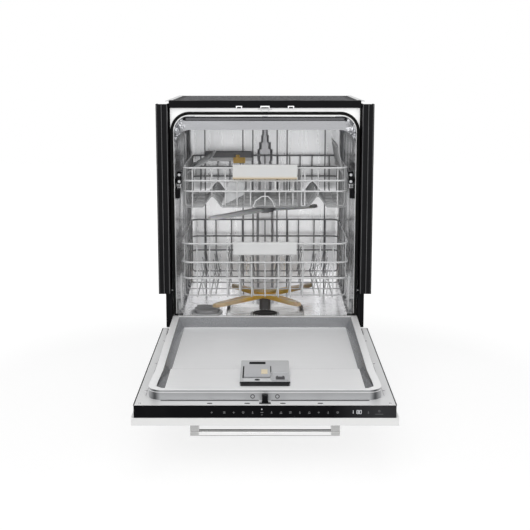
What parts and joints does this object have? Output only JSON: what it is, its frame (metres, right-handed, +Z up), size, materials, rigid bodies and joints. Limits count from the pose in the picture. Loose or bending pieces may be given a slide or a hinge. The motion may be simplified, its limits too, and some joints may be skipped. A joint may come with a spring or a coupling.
{
  "type": "dishwasher",
  "caption": "Panel-ready built-in dishwasher with drop-down door, two sliding wire racks, rotating spray arms, dispenser, filter and a bar handle on the front panel.",
  "frame": {"origin": "middle of the outline of the open object, on the floor", "axes": "+X to the right seen from the front, +Y to the back, +Z up"},
  "size_m": [0.6, 1.214, 0.815],
  "materials": {
    "stainless": "bright brushed stainless steel",
    "galvanised_steel": "dull zinc-coated sheet",
    "black_plastic": "satin black",
    "gloss_black": "gloss black",
    "grey_plastic": "mid grey",
    "pale_grey_plastic": "pale grey",
    "dark_grey_plastic": "dark grey",
    "white_plastic": "white",
    "amber_plastic": "translucent amber",
    "rubber": "dark elastomer",
    "felt": "dark felt",
    "coated_wire": "light grey nylon coating on steel wire",
    "white_board": "white lacquered board",
    "steel": "plain steel",
    "handle_steel": "brushed steel"
  },
  "bodies": {
    "cabinet": {"tub_shell": "stainless", "tub_back": "stainless", "tub_floor": "stainless", "face_frame": "stainless", "door_gasket": "rubber", "sill_seal": "rubber", "latch_striker": "steel", "right_side_panel": "galvanised_steel", "left_side_panel": "galvanised_steel", "rear_panel": "galvanised_steel", "top_crossbar": "black_plastic", "top_felt": "felt", "right_gap_trim": "black_plastic", "left_gap_trim": "black_plastic", "base_tray": "dark_grey_plastic", "toe_panel": "black_plastic", "hinge_brackets": "galvanised_steel", "sump": "dark_grey_plastic", "filter_plate": "stainless", "softener": "pale_grey_plastic", "circulation_pump": "dark_grey_plastic", "drain_pump": "dark_grey_plastic", "inlet_valve": "white_plastic", "drain_spigot": "dark_grey_plastic", "water_duct": "grey_plastic", "roller_brackets": "black_plastic"},
    "door": {"door_liner": "stainless", "door_shell": "galvanised_steel", "control_panel": "gloss_black", "furniture_panel": "white_board", "bar_handle": "handle_steel", "dispenser_body": "grey_plastic", "hinge_pins": "steel"},
    "latch": {"door_latch": "black_plastic"},
    "detergent_lid": {"dispenser_lid": "pale_grey_plastic"},
    "rinse_aid_cap": {"rinse_cap": "pale_grey_plastic"},
    "filter": {"filter_cup": "dark_grey_plastic"},
    "salt_lid": {"salt_cap": "grey_plastic"},
    "lower_arm": {"lower_spray_arm": "amber_plastic"},
    "upper_arm": {"upper_spray_arm": "grey_plastic"},
    "front_rollers": {"front_guide_rollers": "pale_grey_plastic"},
    "rear_rollers": {"rear_guide_rollers": "pale_grey_plastic"},
    "upper_slides": {"slide_rails": "stainless", "rack_adjusters": "grey_plastic"},
    "upper_rack": {"upper_basket": "coated_wire", "upper_handle": "white_plastic", "knife_rack": "pale_grey_plastic", "upper_arm_feed": "grey_plastic"},
    "left_shelf": {"left_cup_shelf": "pale_grey_plastic"},
    "right_shelf": {"right_cup_shelf": "pale_grey_plastic"},
    "lower_rack": {"lower_basket": "coated_wire", "lower_handle": "pale_grey_plastic"},
    "front_rack_wheels": {"front_wheels": "pale_grey_plastic"},
    "rear_rack_wheels": {"rear_wheels": "pale_grey_plastic"},
    "left_tines": {"left_folding_tines": "coated_wire"},
    "right_tines": {"right_folding_tines": "coated_wire"},
    "front_left_foot_body": {"front_left_foot": "dark_grey_plastic"},
    "front_right_foot_body": {"front_right_foot": "dark_grey_plastic"},
    "rear_left_foot_body": {"rear_left_foot": "dark_grey_plastic"},
    "rear_right_foot_body": {"rear_right_foot": "dark_grey_plastic"}
  },
  "joints": [
    {"name": "door_hinge", "type": "hinge", "parent": "cabinet", "child": "door", "pos_m": [0, 0.047, 0.151], "axis": [1, 0, 0], "range_deg": [-90, 0]},
    {"name": "latch_travel", "type": "slide", "parent": "door", "child": "latch", "axis": [0, 0, 1], "range_m": [-0.006, 0], "stiffness_N_per_m": 200, "springref_m": 0.002},
    {"name": "detergent_lid_slide", "type": "slide", "parent": "door", "child": "detergent_lid", "axis": [0, 1, 0], "range_m": [0, 0.05]},
    {"name": "rinse_cap_hinge", "type": "hinge", "parent": "door", "child": "rinse_aid_cap", "pos_m": [0.035, -0.448, 0.1943], "axis": [-1, 0, 0], "range_deg": [0, 90]},
    {"name": "filter_twist", "type": "hinge", "parent": "cabinet", "child": "filter", "pos_m": [0, 0.247, 0.166], "axis": [0, 0, 1], "range_deg": [0, 60]},
    {"name": "salt_cap_turn", "type": "hinge", "parent": "cabinet", "child": "salt_lid", "pos_m": [-0.175, 0.277, 0.176], "axis": [0, 0, 1], "range_deg": [0, 330]},
    {"name": "lower_arm_spin", "type": "hinge", "parent": "cabinet", "child": "lower_arm", "pos_m": [0, 0.334, 0.21], "axis": [0, 0, 1], "continuous": true},
    {"name": "upper_rack_slide", "type": "slide", "parent": "cabinet", "child": "upper_slides", "axis": [0, -1, 0], "range_m": [0, 0.35]},
    {"name": "upper_rack_height", "type": "slide", "parent": "upper_slides", "child": "upper_rack", "axis": [0, 0, 1], "range_m": [0, 0.04]},
    {"name": "upper_arm_spin", "type": "hinge", "parent": "upper_rack", "child": "upper_arm", "pos_m": [0, 0.334, 0.482], "axis": [0, 0, 1], "continuous": true},
    {"name": "left_shelf_fold", "type": "hinge", "parent": "upper_rack", "child": "left_shelf", "pos_m": [-0.22238, 0.334, 0.606], "axis": [0, -1, 0], "range_deg": [-30, 50]},
    {"name": "right_shelf_fold", "type": "hinge", "parent": "upper_rack", "child": "right_shelf", "pos_m": [0.22238, 0.334, 0.606], "axis": [0, 1, 0], "range_deg": [-80, 0]},
    {"name": "front_roller_spin", "type": "hinge", "parent": "cabinet", "child": "front_rollers", "pos_m": [0, 0.144, 0.579], "axis": [1, 0, 0], "range_deg": [-10, 2200]},
    {"name": "rear_roller_spin", "type": "hinge", "parent": "cabinet", "child": "rear_rollers", "pos_m": [0, 0.18, 0.579], "axis": [1, 0, 0], "range_deg": [-10, 2200]},
    {"name": "lower_rack_slide", "type": "slide", "parent": "cabinet", "child": "lower_rack", "axis": [0, -0.9997, -0.0224], "range_m": [0, 0.48]},
    {"name": "front_wheel_spin", "type": "hinge", "parent": "lower_rack", "child": "front_rack_wheels", "pos_m": [0, 0.1566, 0.22466], "axis": [1, 0, 0], "range_deg": [-10, 1700]},
    {"name": "rear_wheel_spin", "type": "hinge", "parent": "lower_rack", "child": "rear_rack_wheels", "pos_m": [0, 0.49152, 0.23217], "axis": [1, 0, 0], "range_deg": [-10, 1700]},
    {"name": "left_tine_fold", "type": "hinge", "parent": "lower_rack", "child": "left_tines", "pos_m": [-0.143, 0.33289, 0.2586], "axis": [0, 0.9997, 0.0224], "range_deg": [0, 75]},
    {"name": "right_tine_fold", "type": "hinge", "parent": "lower_rack", "child": "right_tines", "pos_m": [0.143, 0.33289, 0.2586], "axis": [0, -0.9997, -0.0224], "range_deg": [0, 75]},
    {"name": "front_left_foot_screw", "type": "slide", "parent": "cabinet", "child": "front_left_foot_body", "axis": [0, 0, 1], "range_m": [-0.05, 0]},
    {"name": "front_right_foot_screw", "type": "slide", "parent": "cabinet", "child": "front_right_foot_body", "axis": [0, 0, 1], "range_m": [-0.05, 0]},
    {"name": "rear_left_foot_screw", "type": "slide", "parent": "cabinet", "child": "rear_left_foot_body", "axis": [0, 0, 1], "range_m": [-0.05, 0]},
    {"name": "rear_right_foot_screw", "type": "slide", "parent": "cabinet", "child": "rear_right_foot_body", "axis": [0, 0, 1], "range_m": [-0.05, 0]}
  ],
  "couplings": [
    {"joint": "front_roller_spin", "follows": "upper_rack_slide", "rad_per_m": 105.26},
    {"joint": "rear_roller_spin", "follows": "upper_rack_slide", "rad_per_m": 105.26},
    {"joint": "front_wheel_spin", "follows": "lower_rack_slide", "rad_per_m": 58.824},
    {"joint": "rear_wheel_spin", "follows": "lower_rack_slide", "rad_per_m": 58.824}
  ]
}
